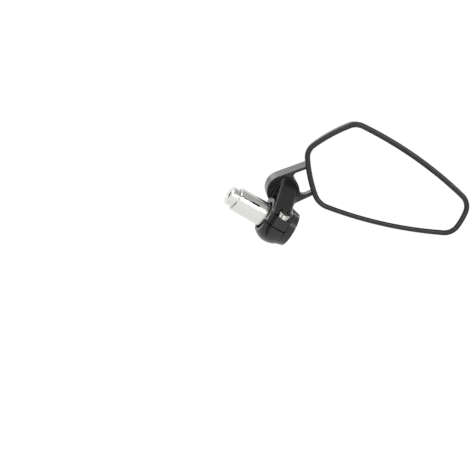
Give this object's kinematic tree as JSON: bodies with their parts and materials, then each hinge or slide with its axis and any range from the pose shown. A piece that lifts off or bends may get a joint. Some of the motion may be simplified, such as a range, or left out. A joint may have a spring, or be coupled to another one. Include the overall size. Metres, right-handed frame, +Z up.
{
  "type": "bar-end motorcycle mirror",
  "caption": "Five-sided rear-view mirror on a forked stem, with a friction pivot, a pinch clamp and an expanding plug for the end of a motorcycle handlebar.",
  "frame": {"origin": "on the handlebar's axis, where the end of the handlebar meets the end cap's spigot", "axes": "+X along the handlebar and outboard, +Y forward and away from the rider, +Z up along the arm"},
  "size_m": [0.1679, 0.0508, 0.1132],
  "materials": {
    "bright_aluminium": "bright turned aluminium",
    "black_aluminium": "satin black coat on cast aluminium",
    "steel": "zinc plated",
    "black_steel": "black oxide",
    "nylon": "black nylon",
    "black_plastic": "satin black moulding",
    "silvered_glass": "convex mirror glass",
    "black_rubber": "adhesive foam rubber"
  },
  "bodies": {
    "bar_plug": {"expander_sleeve": "bright_aluminium", "end_cap": "black_aluminium", "bolt_washer": "steel"},
    "plug_bolt": {"expander_bolt": "steel"},
    "plug_nut": {"cone_nut": "bright_aluminium"},
    "clamp": {"clamp_arm": "black_aluminium", "pinch_screw": "steel", "friction_washer": "nylon", "pivot_screw": "black_steel", "pivot_washer": "steel", "pivot_springs": "steel"},
    "mirror": {"mirror_casing": "black_plastic", "mirror_glass": "silvered_glass", "glass_gasket": "black_rubber", "pivot_bush": "nylon"}
  },
  "joints": [
    {"name": "bolt_turn", "type": "hinge", "parent": "bar_plug", "child": "plug_bolt", "pos_m": [0, 0, 0], "axis": [-1, 0, 0], "range_deg": [0, 540]},
    {"name": "nut_draw", "type": "slide", "parent": "bar_plug", "child": "plug_nut", "axis": [1, 0, 0], "range_m": [0, 0.00151]},
    {"name": "clamp_turn", "type": "hinge", "parent": "bar_plug", "child": "clamp", "pos_m": [0, 0, 0], "axis": [1, 0, 0], "continuous": true},
    {"name": "mirror_pivot", "type": "hinge", "parent": "clamp", "child": "mirror", "pos_m": [-0.0054, 0.0158, 0.0195], "axis": [0, 1, 0], "range_deg": [-85, 45]}
  ],
  "couplings": [
    {"joint": "nut_draw", "follows": "bolt_turn", "m_per_rad": 0.00015915}
  ]
}
